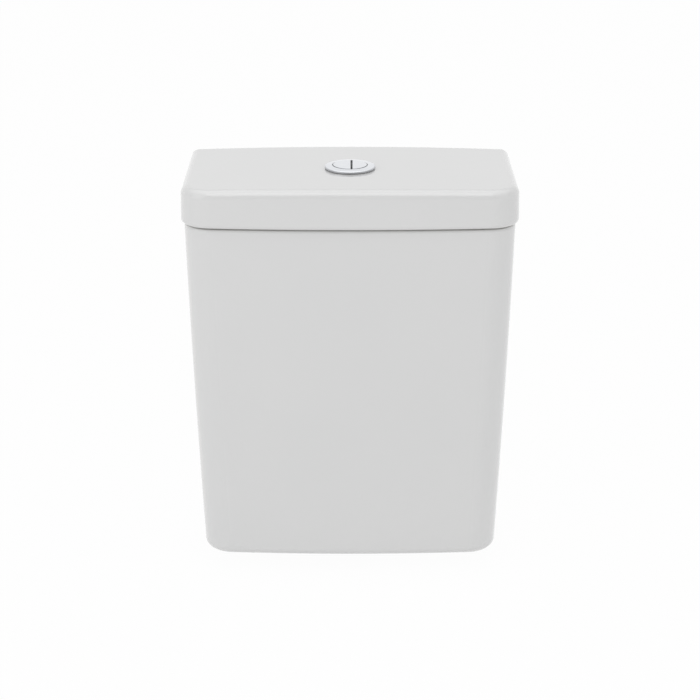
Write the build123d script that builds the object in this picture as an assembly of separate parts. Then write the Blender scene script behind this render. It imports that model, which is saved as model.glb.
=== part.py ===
from build123d import *
import os
from math import asin, cos, degrees, hypot, pi, radians, sin

# A close-coupled toilet cistern with a dual-flush valve, a bottom-entry fill valve and push buttons.
# Lengths are in millimetres. The origin is the middle of the flush outlet, in the plane of the base
# rim. +Z is up, +X is to the right seen from the front, and +Y points to the wall.

# Shared clearances
overrun = 2.0             # how far a cutting shape runs past what it cuts
seat_gap = 0.3            # between two pieces that meet but move apart
slide_gap = 0.5           # between a sliding piece and what guides it
pin_gap = 0.05            # between a pin and the lever that turns on it
thread_gap = 0.1          # between a nut and the thread inside it
thread_relief = 0.3       # how much thinner a threaded shank is above its free end

# Tank
tank_height = 376.4
tank_base_width = 319.0
tank_rim_width = 343.5
tank_side_bulge = 1.1     # how far each side swells between base and rim
tank_front = 80.2         # outlet axis to the front corners, at the rim
tank_front_lean = 11.6    # how much further back the front stands at the base
tank_back = 99.7          # outlet axis to the wall
tank_front_bow = 6.5
tank_front_corner = 31.5
tank_back_corner = 9.0
tank_back_grind = 0.05    # the back is ground flat by this much
tank_wall = 9.5
tank_inner_back_corner = 14.0
tank_base_edge = 9.0
tank_rim_edge = 4.0
tank_rim_inner_edge = 1.5
floor_recess = 24.0       # height of the floor's underside above the base rim
floor_thickness = 10.0
floor_corner = 10.0
rim_foot_width = 13.0     # thickness of the foot that runs round the recess
recess_corner = 6.0
wall_screw_spacing = 220.0
wall_screw_hole = 3.5
wall_screw_drop = 46.4    # how far the screw holes lie below the tank's rim

# Lid
lid_side_overhang = 3.25
lid_front_overhang = 3.0  # over the tank's front corners
lid_back_gap = 1.0        # between the lid and the wall
lid_front_bow = 8.3
lid_front_corner = 33.0
lid_back_corner = 10.0
lid_skirt = 38.6
lid_crown = 3.0
lid_draft_angle = 1.13
lid_top_edge = 8.8
lid_lower_edge = 4.0
lid_lower_inner_edge = 1.5
lid_wall = 9.5
lid_top_thickness = 10.0
lid_inner_corner = 8.0
lug_length = 26.0
lug_depth = 6.0
lug_drop = 8.0
lug_gap = 2.0
lug_edge = 1.5
lug_shoulder = 1.5        # how far above the rim a lug's shoulder starts
lug_share = 0.45          # where the lugs sit along each side, as a share of its half length

# Push buttons and their housing
button_radius = 18.3
button_gap = 0.4
split_offset = 1.6        # the split lies right of the middle, so the left half is the larger
split_rib = 0.6
bezel_radius = 26.5
bezel_height = 1.9
bezel_rise = 1.0          # how much higher the ring is round the buttons than at its edge
bezel_edge = 0.9
housing_wall = 1.65
housing_flange = 4.0
housing_flange_thickness = 0.8
housing_length = 45.0
housing_floor_depth = 33.1
housing_floor_thickness = 2.5
lid_hole_gap = 1.0
gasket_thickness = 0.9
gasket_width = 4.9
locknut_height = 9.0
locknut_width = 7.0
locknut_notch = 2.5
locknut_notches = 10
button_stand = 0.4        # how far the buttons stand above the ring's inner edge
button_cap = 2.5
button_skirt = 8.0
button_wall = 1.5
button_edge = 0.7
stem_radius = 3.2
barb_height = 3.0
barb_width = 0.8
rod_offset = 9.0          # each rod's distance from the middle
rod_radius = 2.0
rod_foot_radius = 4.0
rod_foot_height = 3.0
spring_wire = 0.45        # radius of the wire
spring_radius = 4.1
spring_turns = 7
full_press = 10.0
half_press = 8.0

# Rockers
rocker_drop = 72.0        # how far the rockers' pins lie below the button housing's floor
rocker_input_arm = 16.0
full_output_arm = 22.4
half_output_arm = 18.0
rocker_width = 8.0
rocker_hub = 5.0
rocker_tip = 2.5
rocker_web = 3.2
rocker_pin_radius = 2.0
pin_head_radius = 3.2
pin_head_height = 1.0
cheek_thickness = 3.0
cheek_reach = 6.0

# Flush valve
tail_radius = 29.8
tail_wall = 3.3
tail_drop = 14.0          # how far the tail reaches below the base rim
outlet_hole = 31.5
seating_washer_thickness = 3.0
valve_flange_radius = 42.0
valve_flange_thickness = 4.0
seat_height = 9.0
seat_wall = 3.0
seat_step = 0.5           # how much wider the seat's bore is than the tail's
seat_edge = 1.2
basket_radius = 41.0
basket_wall = 2.5
basket_height = 39.0
basket_window_height = 24.0
basket_window_width = 26.0
basket_window_sill = 5.0
basket_windows = 6
window_corner = 3.0
backnut_height = 12.0
backnut_radius = 38.5
backnut_lug = 2.5
backnut_lug_width = 7.0
backnut_lugs = 10
ring_gasket_radius = 52.0
ring_gasket_drop = 2.0    # how far the gasket reaches below the base rim
ring_gasket_bevel = 4.0
bayonet_ear = 4.0
bayonet_ear_width = 12.0
bayonet_ear_height = 4.0
bayonet_hook = 3.0
bayonets = 3
bayonet_start = 30.0      # angle of the first hook
tower_radius = 36.0
tower_wall = 2.5
tower_drop = 18.0         # how far the tower's deck lies below the rockers' pins
tower_deck = 4.0
tower_ring_height = 5.0
tower_foot_taper = 3.0
guide_thickness = 3.0
lower_guide_height = 128.0
upper_guide_drop = 36.0   # how far the upper guide lies below the tower's deck
tower_window_width = 34.0
short_window_width = 24.0
tower_windows = 4
tower_window_start = 45.0 # angle of the lowest row's first window
guide_hole_radius = 5.0
rail_head_width = 10.0
rail_head_depth = 3.0
rail_stem_width = 5.0
rail_stem_depth = 3.5
rail_notch = 0.8
rail_notch_height = 3.0
rail_notches = 10
tube_radius = 14.0
tube_wall = 2.0
tube_bottom = 40.0
tube_drop = 22.0          # how far the tube ends below the tower's deck
seal_radius = 31.5
seal_thickness = 2.5
seal_gap = 0.1
clamp_ring_width = 9.0
clamp_ring_height = 4.0
retainer_width = 15.0
retainer_height = 4.5
retainer_rib = 3.0
float_width = 13.0
float_height = 38.0
float_edge = 3.0
crosshead_drop = 102.0    # how far the crosshead lies below the rockers' pins
crosshead_height = 12.0
collar_width = 6.0
lifter_height = 13.0
arm_width = 10.0
arm_thickness = 4.0
strap_thickness = 3.0
strap_tip_gap = 0.8
hook_margin = 1.2         # how far a hook reaches past the middle of a rocker's tip
half_float_width = 36.0
half_float_depth = 20.0
half_float_height = 36.0
half_float_rise = 12.0    # how far above the lower guide the half-flush float stands
half_float_edge = 4.0
half_float_arm = 2.6

# Fill valve
fill_offset = 112.0       # the inlet holes' distance from the middle
inlet_hole = 12.5
inlet_thread_radius = 10.48
inlet_drop = 14.0
fill_flange_radius = 17.0
fill_flange_thickness = 4.5
fill_washer_thickness = 2.5
fill_nut_across_flats = 30.0
fill_nut_height = 9.0
riser_radius = 9.5
fill_bore = 6.5
filter_radius = 7.2
filter_wall = 1.0
filter_height = 28.0
filter_slot_width = 1.6
filter_slot_height = 18.0
filter_slots = 8
sleeve_radius = 13.5
sleeve_wall = 1.5
sleeve_bottom = 58.0
head_drop = 76.0          # how far the fill valve's head lies below the rockers' pins
head_height = 30.0
head_socket_wall = 3.0
head_radius = 20.5
head_bowl_depth = 12.0
head_port_radius = 2.5
head_ports = 6
diaphragm_radius = 19.0
diaphragm_thickness = 2.0
fill_cap_wall = 2.5
fill_cap_overlap = 7.0
fill_cap_top = 8.0
cap_grip = 1.0
cap_grips = 24
ear_offset = 16.0         # the lever pin stands this far behind the riser's axis
ear_height = 23.0
ear_thickness = 3.0
ear_reach = 5.0
link_offset = 28.0        # the float's rod stands this far in front of the riser's axis
float_rise = 20.0
fill_float_radius = 34.0
fill_float_drop = 90.0    # how far the float hangs below the head at rest
fill_float_height = 46.0
fill_float_edge = 5.0
fill_float_groove = 1.5
fill_float_groove_height = 4.0
lever_width = 12.0
lever_thickness = 5.0
lever_hub = 5.0
lever_pin_radius = 2.0
lever_end = 5.5
lever_slot_margin = 1.2
link_radius = 2.5
link_tab_width = 5.4
link_tab_radius = 4.4
link_socket_radius = 5.0
link_socket_height = 6.0
plug_shank_drop = 12.0
plug_flange_thickness = 3.5
plug_rib = 3.0

# Close-coupling bolts
bolt_spacing = 160.0
bolt_radius = 4.0
bolt_hole = 6.0
bolt_drop = 21.0          # how far the bolts reach below the base rim
bolt_head_radius = 8.0
bolt_head_height = 5.0
bolt_slot = 1.6
cone_washer_radius = 14.0
cone_washer_height = 4.0
cone_washer_taper = 4.0
steel_washer_radius = 12.0
steel_washer_thickness = 1.5
bolt_nut_across_flats = 13.0
bolt_nut_height = 6.5

# Levels and places that follow from the sizes above
floor_top = floor_recess + floor_thickness
wall_screw_height = tank_height - wall_screw_drop
lid_width = tank_rim_width + 2 * lid_side_overhang
lid_front = tank_front + lid_front_overhang
lid_back = tank_back - lid_back_gap
lid_bottom = tank_height + seat_gap
lid_top = lid_bottom + lid_skirt + lid_crown
lid_underside = lid_top - lid_top_thickness
housing_base = lid_top + gasket_thickness
ring_top = housing_base + bezel_height
buttons_top = ring_top + bezel_rise + button_stand
button_underside = buttons_top - button_cap
housing_bore = button_radius + button_gap
housing_radius = housing_bore + housing_wall
lid_hole = housing_radius + lid_hole_gap
housing_floor_top = ring_top - housing_floor_depth
rocker_height = housing_floor_top - rocker_drop
tower_top = rocker_height - tower_drop
upper_guide_height = tower_top - upper_guide_drop
tube_top = tower_top - tube_drop
crosshead_bottom = rocker_height - crosshead_drop
half_float_bottom = lower_guide_height + half_float_rise
head_bottom = rocker_height - head_drop
fill_float_bottom = head_bottom - fill_float_drop
valve_flange_bottom = floor_top + seating_washer_thickness
valve_floor = valve_flange_bottom + valve_flange_thickness
seat_top = valve_floor + seat_height
basket_top = valve_floor + basket_height
tail_bore = tail_radius - tail_wall
seal_bottom = seat_top + seal_gap
seal_top = seal_bottom + seal_thickness
full_swing = degrees(asin(full_press / 2 / rocker_input_arm))
half_swing = degrees(asin(half_press / 2 / rocker_input_arm))
full_lift = full_press * full_output_arm / rocker_input_arm
half_lift = half_press * half_output_arm / rocker_input_arm
lever_arm = ear_offset + link_offset
lever_swing = degrees(asin(float_rise / 2 / lever_arm))
lever_pin_height = head_bottom + head_height + fill_cap_top + ear_height - ear_reach
cap_base = head_bottom + head_height


def tube(outer, inner, bottom, top, x=0, y=0):
    """A round tube standing on its end."""
    rod = Cylinder(outer, top - bottom, align=(Align.CENTER, Align.CENTER, Align.MIN))
    bore = Cylinder(inner, top - bottom + 2 * overrun, align=(Align.CENTER, Align.CENTER, Align.MIN))
    return Pos(x, y, bottom) * (rod - Pos(0, 0, -overrun) * bore)


def rod(radius, bottom, top, x=0, y=0):
    """A round rod standing on its end."""
    return Pos(x, y, bottom) * Cylinder(radius, top - bottom, align=(Align.CENTER, Align.CENTER, Align.MIN))


def cross_rod(radius, half_length, x, z, y=0):
    """A round rod that lies along Y, with its middle at x, y, z."""
    return Pos(x, y, z) * Rot(90, 0, 0) * Cylinder(radius, 2 * half_length)


def block(x_low, x_high, y_low, y_high, z_low, z_high):
    """A box between two corners."""
    middle = Pos((x_low + x_high) / 2, (y_low + y_high) / 2, (z_low + z_high) / 2)
    return middle * Box(x_high - x_low, y_high - y_low, z_high - z_low)


def turned(points, x=0, y=0):
    """A solid of revolution about a vertical axis, from radius and height pairs."""
    outline = make_face(Polyline([(radius, 0, height) for radius, height in points], close=True))
    return Pos(x, y, 0) * revolve(outline, Axis.Z)


def hexagon(across_flats, bottom, top, x=0, y=0):
    """A hexagonal prism."""
    corner_radius = across_flats / 2 / cos(pi / 6)
    return extrude(Pos(x, y, bottom) * RegularPolygon(corner_radius, 6), top - bottom)


def radial_window(width, bottom, top, reach, angle):
    """A round-cornered prism that cuts one window through the wall of a cage, at an angle."""
    opening = Plane.YZ * RectangleRounded(width, top - bottom, window_corner)
    prism = extrude(opening, reach)
    return Rot(0, 0, angle) * Pos(0, 0, (bottom + top) / 2) * prism


def around(count, start=0):
    """Evenly spaced angles round a full turn."""
    return [start + 360 * number / count for number in range(count)]


def plan(half_width, front, back, bow, front_corner, back_corner, height):
    """The outline that tank and lid share: straight sides and back, a bowed front, round corners."""
    left_front = (-half_width, -front)
    right_front = (half_width, -front)
    sides = [
        Line(right_front, (half_width, back)),
        Line((half_width, back), (-half_width, back)),
        Line((-half_width, back), left_front),
        ThreePointArc(left_front, (0, -front - bow), right_front),
    ]
    outline = make_face(sides)
    outline = fillet(outline.vertices().group_by(Axis.Y)[0], front_corner)
    outline = fillet(outline.vertices().group_by(Axis.Y)[-1], back_corner)
    return Pos(0, 0, height) * outline


def tank_half_width(height):
    """Half the tank's outer width: a taper with a gentle swell."""
    rise = height / tank_height
    taper = (tank_rim_width - tank_base_width) / 2 * rise
    return tank_base_width / 2 + taper + 4 * tank_side_bulge * rise * (1 - rise)


def tank_front_at(height):
    """Distance from the outlet axis to the tank's front corners."""
    return tank_front - tank_front_lean * (1 - height / tank_height)


def tank_section(height, inset, back_corner):
    """The tank's outline at a height, moved inwards by inset."""
    return plan(
        tank_half_width(height) - inset,
        tank_front_at(height) - inset,
        tank_back - inset,
        tank_front_bow,
        tank_front_corner - inset,
        back_corner,
        height,
    )


def cistern_body():
    """Ceramic tank: a tapered shell with a floor set above its foot, and all its holes."""
    heights = [0, tank_height / 2, tank_height]
    shell = loft([
        Pos(0, tank_back_grind, 0) * tank_section(height, 0, tank_back_corner) for height in heights
    ])
    shell = fillet(shell.faces().sort_by(Axis.Z)[0].edges(), tank_base_edge)
    water_heights = [floor_top, (floor_top + tank_height) / 2, tank_height + overrun]
    water = loft([
        tank_section(height, tank_wall, tank_inner_back_corner) for height in water_heights
    ])
    water = fillet(water.faces().sort_by(Axis.Z)[0].edges(), floor_corner)
    recess_sections = [
        tank_section(height, rim_foot_width, tank_inner_back_corner) for height in (-overrun, floor_recess)
    ]
    recess = loft(recess_sections, ruled=True)
    recess = fillet(recess.faces().sort_by(Axis.Z)[-1].edges(), recess_corner)
    shell = shell - water - recess
    rim = shell.faces().sort_by(Axis.Z)[-1]
    shell = fillet(rim.outer_wire().edges(), tank_rim_edge)
    rim = shell.faces().sort_by(Axis.Z)[-1]
    shell = fillet(rim.inner_wires()[0].edges(), tank_rim_inner_edge)
    low = floor_recess - overrun
    high = floor_top + overrun
    holes = [rod(outlet_hole, low, high)]
    for side in (-1, 1):
        holes.append(rod(inlet_hole, low, high, side * fill_offset))
        holes.append(rod(bolt_hole, low, high, side * bolt_spacing / 2))
        screw_x = side * wall_screw_spacing / 2
        screw_length = tank_wall / 2 + overrun
        screw_y = tank_back - tank_wall / 2
        holes.append(cross_rod(wall_screw_hole, screw_length, screw_x, wall_screw_height, screw_y))
    grinder = block(
        -tank_rim_width, tank_rim_width, tank_back, tank_back + overrun, -overrun, tank_height + overrun
    )
    return shell - holes - grinder


def lid_lug(face, reach, along, angle):
    """One rib under the lid: its foot drops inside the tank's rim, its shoulder meets the skirt."""
    foot = lid_bottom - lug_drop
    shoulder = lid_bottom + lug_shoulder
    top = lid_underside + overrun
    profile = Polyline([
        (face - lug_depth, 0, foot),
        (face, 0, foot),
        (face, 0, shoulder),
        (reach, 0, shoulder),
        (reach, 0, top),
        (face - lug_depth, 0, top),
    ], close=True)
    rib = extrude(make_face(profile), lug_length / 2, both=True)
    rib = fillet(rib.faces().sort_by(Axis.Z)[0].edges(), lug_edge)
    return Rot(0, 0, angle) * Pos(0, along, 0) * rib


def lid():
    """Ceramic lid: a drafted, crowned cover with a deep skirt, lugs and the button's hole."""
    outline = plan(
        lid_width / 2, lid_front, lid_back, lid_front_bow, lid_front_corner, lid_back_corner, lid_bottom
    )
    cover = extrude(outline, lid_skirt + 2 * lid_crown, taper=lid_draft_angle)
    reach = lid_width / 2 + overrun
    crown_edge = lid_top - lid_crown * (reach / (lid_width / 2)) ** 2
    crown_low = lid_bottom - overrun
    crown_outline = make_face([
        Line((-reach, 0, crown_low), (reach, 0, crown_low)),
        Line((reach, 0, crown_low), (reach, 0, crown_edge)),
        ThreePointArc((reach, 0, crown_edge), (0, 0, lid_top), (-reach, 0, crown_edge)),
        Line((-reach, 0, crown_edge), (-reach, 0, crown_low)),
    ])
    cover = cover & extrude(crown_outline, lid_width, both=True)
    cover = fillet(cover.faces().sort_by(Axis.Z)[-1].edges(), lid_top_edge)
    hollow_outline = plan(
        lid_width / 2 - lid_wall,
        lid_front - lid_wall,
        lid_back - lid_wall,
        lid_front_bow,
        lid_front_corner - lid_wall,
        tank_inner_back_corner,
        crown_low,
    )
    hollow = extrude(hollow_outline, lid_underside - crown_low, taper=lid_draft_angle)
    hollow = fillet(hollow.faces().sort_by(Axis.Z)[-1].edges(), lid_inner_corner)
    cover = cover - hollow
    rim = cover.faces().sort_by(Axis.Z)[0]
    cover = fillet(rim.outer_wire().edges(), lid_lower_edge)
    rim = cover.faces().sort_by(Axis.Z)[0]
    cover = fillet(rim.inner_wires()[0].edges(), lid_lower_inner_edge)
    side = tank_half_width(tank_height) - tank_wall - lug_gap
    front = tank_front - tank_wall - lug_gap
    back = tank_back - tank_wall - lug_gap
    side_reach = (lid_width - lid_wall) / 2
    lugs = []
    for share in (-lug_share, lug_share):
        lugs.append(lid_lug(side, side_reach, front * share, 0))
        lugs.append(lid_lug(side, side_reach, front * share, 180))
        lugs.append(lid_lug(front, lid_front, side * share, -90))
        lugs.append(lid_lug(back, lid_back - lid_wall / 2, side * share, 90))
    return cover + lugs - rod(lid_hole, lid_underside - overrun, lid_top + overrun)


def button_housing():
    """Plastic barrel with a flange, a floor with two guide holes and a rib between the buttons."""
    flange_top = housing_base + housing_flange_thickness
    barrel_bottom = housing_base - housing_length
    barrel = tube(housing_radius, housing_bore, barrel_bottom, flange_top)
    flange = tube(housing_radius + housing_flange, housing_bore, housing_base, flange_top)
    floor = rod(housing_radius, housing_floor_top - housing_floor_thickness, housing_floor_top)
    rib = block(
        split_offset - split_rib / 2,
        split_offset + split_rib / 2,
        -housing_radius + housing_wall / 2,
        housing_radius - housing_wall / 2,
        housing_floor_top - housing_floor_thickness / 2,
        button_underside - full_press,
    )
    holes = [
        rod(stem_radius + button_gap, barrel_bottom, housing_floor_top + overrun, side * rod_offset)
        for side in (-1, 1)
    ]
    return barrel + flange + floor + rib - holes


def button_bezel():
    """Chromed ring round the buttons: it covers the housing's flange and rests on the gasket."""
    flange_edge = housing_radius + housing_flange + thread_gap
    flange_top = housing_base + housing_flange_thickness
    ring = turned([
        (housing_bore, flange_top),
        (flange_edge, flange_top),
        (flange_edge, housing_base),
        (bezel_radius, housing_base),
        (bezel_radius, ring_top),
        (housing_bore, ring_top + bezel_rise),
    ])
    circles = ring.edges().filter_by(GeomType.CIRCLE)
    rim = circles.sort_by(SortBy.RADIUS)[-2:].sort_by(Axis.Z)[-1]
    return fillet(rim, bezel_edge)


def button_locknut():
    """Ring nut under the lid, with grip notches."""
    outer = housing_radius + locknut_width
    nut = tube(outer, housing_radius + thread_gap, lid_underside - locknut_height, lid_underside)
    low = lid_underside - locknut_height - overrun
    high = lid_underside + overrun
    for angle in around(locknut_notches):
        nut = nut - Rot(0, 0, angle) * rod(locknut_notch, low, high, outer)
    return nut


def button_cap(side):
    """One half of the button pair: a shell of its half circle, with its stem. side is -1 or 1."""
    split = split_offset + side * (split_rib / 2 + button_gap)
    reach = button_radius + overrun
    x_low, x_high = sorted((split, side * reach))
    skirt_bottom = button_underside - button_skirt
    half = rod(button_radius, skirt_bottom, buttons_top)
    half = half & block(x_low, x_high, -reach, reach, skirt_bottom, buttons_top)
    half = fillet(half.faces().sort_by(Axis.Z)[-1].edges(), button_edge)
    inner_split = split + side * button_wall
    x_low, x_high = sorted((inner_split, side * reach))
    hollow = rod(button_radius - button_wall, skirt_bottom - overrun, button_underside)
    hollow = hollow & block(x_low, x_high, -reach, reach, skirt_bottom - overrun, button_underside)
    x = side * rod_offset
    barb_top = housing_floor_top - housing_floor_thickness - seat_gap
    stem = tube(stem_radius, rod_radius, barb_top - barb_height, button_underside, x)
    barb = turned([
        (stem_radius - barb_width, barb_top),
        (stem_radius + barb_width, barb_top),
        (stem_radius, barb_top - barb_height),
        (stem_radius - barb_width, barb_top - barb_height),
    ], x)
    return half - hollow + stem + barb


def push_rod(side, swing):
    """Rod pressed into a button's stem, with a foot that stands just above its rocker."""
    x = side * rod_offset
    bottom = rocker_height + rocker_input_arm * sin(radians(swing)) + rocker_tip + seat_gap
    shaft = rod(rod_radius, bottom, button_underside, x)
    foot = rod(rod_foot_radius, bottom, bottom + rod_foot_height, x)
    return shaft + foot


def button_spring(side):
    """Helical spring round a button's stem, from the housing's floor to the button."""
    free_length = button_underside - housing_floor_top - 2 * spring_wire
    pitch = free_length / spring_turns
    helix = Helix(pitch, free_length, spring_radius)
    section = Plane(helix @ 0, z_dir=helix % 0) * Circle(spring_wire)
    wire = sweep(section, helix)
    return Pos(side * rod_offset, 0, housing_floor_top + spring_wire) * wire


def rocker_pivot(swing):
    """Distance of a rocker's pin from the middle, so that its pad stays under its rod."""
    return rod_offset + rocker_input_arm * (1 + cos(radians(swing))) / 2


def rocker(side, output_arm, swing):
    """Lever with a hub, a pad under the rod and a tip under the lifting strap."""
    half = rocker_width / 2
    lever = cross_rod(rocker_hub, half, 0, 0)
    for x in (-side * rocker_input_arm, side * output_arm):
        x_low, x_high = sorted((0, x))
        plate = block(x_low, x_high, -half, half, -rocker_web, 0)
        rib_corners = [(0, 0, -rocker_hub), (0, 0, rocker_hub), (x, 0, 0), (x, 0, -rocker_tip)]
        rib = extrude(make_face(Polyline(rib_corners, close=True)), rocker_web / 2, both=True)
        lever = lever + cross_rod(rocker_tip, half, x, 0) + plate + rib
    lever = lever - cross_rod(rocker_pin_radius + pin_gap, half + overrun, 0, 0)
    return Pos(side * rocker_pivot(swing), 0, rocker_height) * Rot(0, side * swing, 0) * lever


def rocker_pins():
    """The two pins that the rockers turn on, each with a head at both ends."""
    pins = []
    half = rocker_width / 2 + slide_gap + cheek_thickness
    for side, swing in ((-1, full_swing), (1, half_swing)):
        x = side * rocker_pivot(swing)
        pin = cross_rod(rocker_pin_radius, half + pin_head_height, x, rocker_height)
        for end in (-1, 1):
            y = end * (half + pin_head_height / 2)
            pin = pin + cross_rod(pin_head_radius, pin_head_height / 2, x, rocker_height, y)
        pins.append(pin)
    return Compound(children=pins)


def valve_base():
    """Flush valve base: threaded tail, flange, raised seat, windowed basket and bayonet hooks."""
    seat_bore = tail_bore + seat_step
    free_end = tube(tail_radius, tail_bore, -tail_drop, -ring_gasket_drop)
    tail = tube(tail_radius - thread_relief, tail_bore, -ring_gasket_drop, valve_flange_bottom)
    flange = tube(valve_flange_radius, seat_bore, valve_flange_bottom, valve_floor)
    seat = tube(seat_bore + seat_wall, seat_bore, valve_flange_bottom, seat_top)
    seat = fillet(seat.faces().sort_by(Axis.Z)[-1].edges(), seat_edge)
    basket = tube(basket_radius, basket_radius - basket_wall, valve_floor - overrun, basket_top)
    sill = valve_floor + basket_window_sill
    for angle in around(basket_windows):
        basket = basket - radial_window(
            basket_window_width, sill, sill + basket_window_height, valve_flange_radius + overrun, angle
        )
    base = free_end + tail + flange + seat + basket
    ear_radius = basket_radius + bayonet_ear
    for angle in around(bayonets, bayonet_start):
        base = base + Rot(0, 0, angle) * bayonet_hook_block(ear_radius)
    return base


def bayonet_hook_block(ear_radius):
    """A hook on the basket's rim that holds one ear of the tower."""
    half = bayonet_ear_width / 2 + bayonet_hook
    inner = basket_radius - basket_wall / 2
    outer = ear_radius + thread_gap + bayonet_hook
    low = basket_top - 2 * bayonet_hook
    high = basket_top + bayonet_ear_height + thread_gap + bayonet_hook
    hook = block(inner, outer, -half, half, low, high)
    ring_room = rod(basket_radius + thread_gap, basket_top, high + overrun)
    ear_room = block(0, ear_radius + thread_gap, -half, half + overrun, basket_top, high - bayonet_hook)
    bore = rod(basket_radius - basket_wall / 2, low - overrun, basket_top + overrun)
    return hook - ring_room - ear_room - bore


def valve_seating_washer():
    """Soft washer between the tank's floor and the valve's flange."""
    return tube(valve_flange_radius, tail_radius + thread_gap, floor_top, valve_flange_bottom)


def valve_backnut():
    """Large nut on the tail, under the tank's floor, with grip lugs."""
    bottom = floor_recess - backnut_height
    nut = tube(backnut_radius, tail_radius + thread_gap, bottom, floor_recess)
    half = backnut_lug_width / 2
    for angle in around(backnut_lugs):
        outer = backnut_radius + backnut_lug
        lug = block(backnut_radius - overrun, outer, -half, half, bottom, floor_recess)
        nut = nut + Rot(0, 0, angle) * lug
    return nut


def close_coupling_gasket():
    """Thick soft ring that covers the nut and seals the tank to the pan."""
    pocket = backnut_radius + backnut_lug + thread_gap + seat_gap
    ledge = floor_recess - backnut_height - thread_gap
    return turned([
        (tail_radius + thread_gap, -ring_gasket_drop),
        (ring_gasket_radius - ring_gasket_bevel, -ring_gasket_drop),
        (ring_gasket_radius, 0),
        (ring_gasket_radius, floor_recess),
        (pocket, floor_recess),
        (pocket, ledge),
        (tail_radius + thread_gap, ledge),
    ])


def valve_tower():
    """Cage over the valve: windows, two tube guides, rocker cheeks and the half-flush float's rail."""
    inner = tower_radius - tower_wall
    ring_top_height = basket_top + tower_ring_height
    tower = turned([
        (inner, basket_top),
        (basket_radius, basket_top),
        (basket_radius, ring_top_height),
        (tower_radius, ring_top_height + tower_foot_taper),
        (tower_radius, tower_top),
        (inner, tower_top),
    ])
    half_ear = bayonet_ear_width / 2
    for angle in around(bayonets, bayonet_start):
        ear = block(
            tower_radius, basket_radius + bayonet_ear, -half_ear, half_ear,
            basket_top, basket_top + bayonet_ear_height,
        )
        tower = tower + Rot(0, 0, angle) * ear
    reach = tower_radius + overrun
    margin = window_corner + guide_thickness
    low_row = (ring_top_height + margin, lower_guide_height - window_corner)
    middle_row = (lower_guide_height + margin, upper_guide_height - margin)
    top_row = (upper_guide_height + margin, tower_top - tower_deck - window_corner)
    for angle in around(tower_windows, tower_window_start):
        tower = tower - radial_window(short_window_width, *low_row, reach, angle)
    for angle in around(tower_windows):
        tower = tower - radial_window(tower_window_width, *middle_row, reach, angle)
        tower = tower - radial_window(short_window_width, *top_row, reach, angle)
    guide_bore = tube_radius + slide_gap
    spread = (guide_bore + inner) / 2
    for low in (lower_guide_height, upper_guide_height):
        guide = tube(inner + tower_wall / 2, guide_bore, low, low + guide_thickness)
        for angle in around(tower_windows, tower_window_start):
            hole = rod(guide_hole_radius, low - overrun, low + guide_thickness + overrun, spread)
            guide = guide - Rot(0, 0, angle) * hole
        tower = tower + guide
    deck_bore = tube_radius + slide_gap + thread_gap
    tower = tower + tube(inner + tower_wall / 2, deck_bore, tower_top - tower_deck, tower_top)
    for side, swing in ((-1, full_swing), (1, half_swing)):
        for end in (-1, 1):
            tower = tower + rocker_cheek(side * rocker_pivot(swing), end)
    return tower + float_rail()


def rocker_cheek(x, end):
    """One upright ear that holds an end of a rocker's pin. end is -1 or 1."""
    near = rocker_width / 2 + slide_gap
    y_low, y_high = sorted((end * near, end * (near + cheek_thickness)))
    low = tower_top - tower_deck / 2
    ear = block(x - cheek_reach, x + cheek_reach, y_low, y_high, low, rocker_height)
    ear = ear + cross_rod(cheek_reach, cheek_thickness / 2, x, rocker_height, (y_low + y_high) / 2)
    return ear - cross_rod(rocker_pin_radius, cheek_thickness, x, rocker_height, (y_low + y_high) / 2)


def float_rail():
    """T-shaped rail on the front of the tower, notched for the half-flush float."""
    low = lower_guide_height
    high = upper_guide_height + guide_thickness
    root = tower_radius - tower_wall / 2
    neck = tower_radius + rail_stem_depth
    front = neck + rail_head_depth
    stem = block(-rail_stem_width / 2, rail_stem_width / 2, -neck, -root, low, high)
    head = block(-rail_head_width / 2, rail_head_width / 2, -front, -neck, low, high)
    step = (high - low) / (rail_notches + 1)
    for number in range(1, rail_notches + 1):
        middle = low + step * number
        notch = block(
            -rail_head_width, rail_head_width, -front - overrun, -front + rail_notch,
            middle - rail_notch_height / 2, middle + rail_notch_height / 2,
        )
        head = head - notch
    return stem + head


def overflow_tube():
    """Plain tube that lifts the seal and carries away an overfill."""
    pipe = tube(tube_radius, tube_radius - tube_wall, tube_bottom, tube_top)
    lip = pipe.faces().sort_by(Axis.Z)[-1].edges()
    return fillet(lip, tube_wall / 4)


def main_seal():
    """Soft disc that lies on the valve's seat."""
    return tube(seal_radius, tube_radius, seal_bottom, seal_top)


def seal_clamp_ring():
    """Ring under the seal that clamps it on the tube."""
    ring = tube(tube_radius + clamp_ring_width, tube_radius, seal_bottom - clamp_ring_height, seal_bottom)
    lower_edge = ring.faces().sort_by(Axis.Z)[0].edges().sort_by(SortBy.RADIUS)[-1]
    return chamfer(lower_edge, clamp_ring_height / 2)


def seal_retainer():
    """Ribbed plate above the seal, fixed on the tube."""
    outer = tube_radius + retainer_width
    plate = tube(outer, tube_radius, seal_top, seal_top + retainer_height / 2)
    hub = tube(tube_radius + collar_width / 2, tube_radius, seal_top, seal_top + 2 * retainer_height)
    plate = plate + hub
    for angle in around(basket_windows):
        rib = block(
            tube_radius + collar_width / 4, outer - retainer_rib, -retainer_rib / 2, retainer_rib / 2,
            seal_top, seal_top + retainer_height,
        )
        plate = plate + Rot(0, 0, angle) * rib
    return plate


def valve_float():
    """Ring-shaped float on the tube; it holds the valve open during a full flush."""
    low = seal_top + 2 * retainer_height
    body = tube(tube_radius + float_width, tube_radius, low, low + float_height)
    rims = body.edges().filter_by(GeomType.CIRCLE).sort_by(SortBy.RADIUS)[-2:]
    return fillet(rims, float_edge)


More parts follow.
